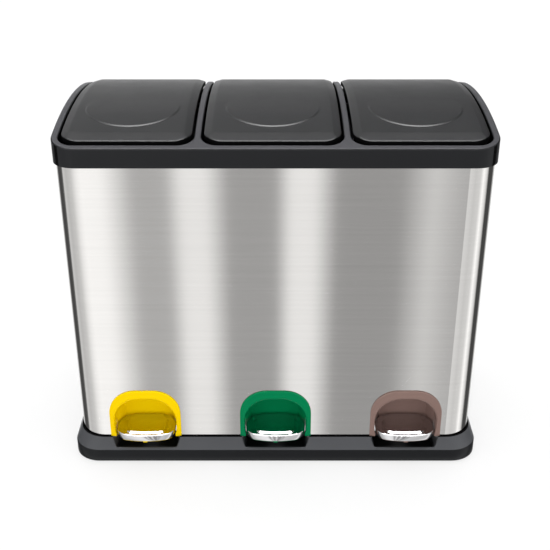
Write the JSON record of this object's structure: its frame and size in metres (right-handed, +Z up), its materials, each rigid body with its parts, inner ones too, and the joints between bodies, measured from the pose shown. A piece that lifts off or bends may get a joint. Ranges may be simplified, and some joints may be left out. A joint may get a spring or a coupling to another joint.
{
  "type": "recycling bin station",
  "caption": "Freestanding recycling station with three pedal-operated bins in one brushed steel cabinet, each with a hinged lid and a lift-out bucket.",
  "frame": {"origin": "on the floor, under the middle of the whole station's bounding box", "axes": "+X to the right seen from the pedals, +Y to the back, +Z up"},
  "size_m": [0.618, 0.346, 0.527],
  "materials": {
    "black_plastic": "satin moulded plastic, fine spark texture",
    "lid_plastic": "satin moulded plastic, fine grain",
    "rubber": "matte rubber",
    "brushed_steel": "horizontal brushed grain",
    "zinc_steel": "bright zinc plate",
    "galvanised_steel": "dull zinc plate",
    "bucket_plastic": "satin moulded plastic",
    "polished_steel": "mirror polished",
    "yellow_plastic": "gloss moulded plastic",
    "green_plastic": "gloss moulded plastic",
    "brown_plastic": "gloss moulded plastic"
  },
  "bodies": {
    "cabinet": {"plinth": "black_plastic", "floor_pan": "black_plastic", "rubber_feet": "rubber", "base_screws": "zinc_steel", "steel_body": "brushed_steel", "top_frame": "black_plastic", "lid_bumpers": "rubber", "pivot_clips": "zinc_steel", "lid_hinge_pin_left": "zinc_steel", "lid_hinge_pin_centre": "zinc_steel", "lid_hinge_pin_right": "zinc_steel", "rod_guide_left": "black_plastic", "rod_guide_centre": "black_plastic", "rod_guide_right": "black_plastic", "pivot_pin_left": "zinc_steel", "pivot_pin_centre": "zinc_steel", "pivot_pin_right": "zinc_steel", "pedal_surround_left": "yellow_plastic", "pedal_surround_centre": "green_plastic", "pedal_surround_right": "brown_plastic"},
    "pedal_arm_left": {"lever_left": "galvanised_steel", "pedal_plate_left": "polished_steel", "pedal_core_left": "yellow_plastic", "pedal_screws_left": "zinc_steel"},
    "rod_left": {"push_rod_left": "zinc_steel"},
    "lid_left": {"lid_left": "lid_plastic"},
    "bucket_left": {"inner_bucket_left": "bucket_plastic"},
    "pedal_arm_centre": {"lever_centre": "galvanised_steel", "pedal_plate_centre": "polished_steel", "pedal_core_centre": "green_plastic", "pedal_screws_centre": "zinc_steel"},
    "rod_centre": {"push_rod_centre": "zinc_steel"},
    "lid_centre": {"lid_centre": "lid_plastic"},
    "bucket_centre": {"inner_bucket_centre": "bucket_plastic"},
    "pedal_arm_right": {"lever_right": "galvanised_steel", "pedal_plate_right": "polished_steel", "pedal_core_right": "brown_plastic", "pedal_screws_right": "zinc_steel"},
    "rod_right": {"push_rod_right": "zinc_steel"},
    "lid_right": {"lid_right": "lid_plastic"},
    "bucket_right": {"inner_bucket_right": "bucket_plastic"}
  },
  "joints": [
    {"name": "pedal_left_press", "type": "hinge", "parent": "cabinet", "child": "pedal_arm_left", "pos_m": [-0.1965, -0.0665, 0.0305], "axis": [1, 0, 0], "range_deg": [0, 8]},
    {"name": "rod_left_lift", "type": "slide", "parent": "cabinet", "child": "rod_left", "axis": [0, 0, 1], "range_m": [0, 0.0287]},
    {"name": "lid_left_open", "type": "hinge", "parent": "cabinet", "child": "lid_left", "pos_m": [-0.1965, 0.155, 0.5], "axis": [-1, 0, 0], "range_deg": [0, 80.5]},
    {"name": "bucket_left_lift", "type": "slide", "parent": "cabinet", "child": "bucket_left", "axis": [0, 0, 1], "range_m": [0, 0.015]},
    {"name": "pedal_centre_press", "type": "hinge", "parent": "cabinet", "child": "pedal_arm_centre", "pos_m": [0, -0.0665, 0.0305], "axis": [1, 0, 0], "range_deg": [0, 8]},
    {"name": "rod_centre_lift", "type": "slide", "parent": "cabinet", "child": "rod_centre", "axis": [0, 0, 1], "range_m": [0, 0.0287]},
    {"name": "lid_centre_open", "type": "hinge", "parent": "cabinet", "child": "lid_centre", "pos_m": [0, 0.155, 0.5], "axis": [-1, 0, 0], "range_deg": [0, 80.5]},
    {"name": "bucket_centre_lift", "type": "slide", "parent": "cabinet", "child": "bucket_centre", "axis": [0, 0, 1], "range_m": [0, 0.015]},
    {"name": "pedal_right_press", "type": "hinge", "parent": "cabinet", "child": "pedal_arm_right", "pos_m": [0.1965, -0.0665, 0.0305], "axis": [1, 0, 0], "range_deg": [0, 8]},
    {"name": "rod_right_lift", "type": "slide", "parent": "cabinet", "child": "rod_right", "axis": [0, 0, 1], "range_m": [0, 0.0287]},
    {"name": "lid_right_open", "type": "hinge", "parent": "cabinet", "child": "lid_right", "pos_m": [0.1965, 0.155, 0.5], "axis": [-1, 0, 0], "range_deg": [0, 80.5]},
    {"name": "bucket_right_lift", "type": "slide", "parent": "cabinet", "child": "bucket_right", "axis": [0, 0, 1], "range_m": [0, 0.015]}
  ],
  "couplings": [
    {"joint": "rod_left_lift", "follows": "pedal_left_press", "m_per_rad": 0.2048},
    {"joint": "lid_left_open", "follows": "pedal_left_press", "ratio": 10},
    {"joint": "rod_centre_lift", "follows": "pedal_centre_press", "m_per_rad": 0.2048},
    {"joint": "lid_centre_open", "follows": "pedal_centre_press", "ratio": 10},
    {"joint": "rod_right_lift", "follows": "pedal_right_press", "m_per_rad": 0.2048},
    {"joint": "lid_right_open", "follows": "pedal_right_press", "ratio": 10}
  ]
}
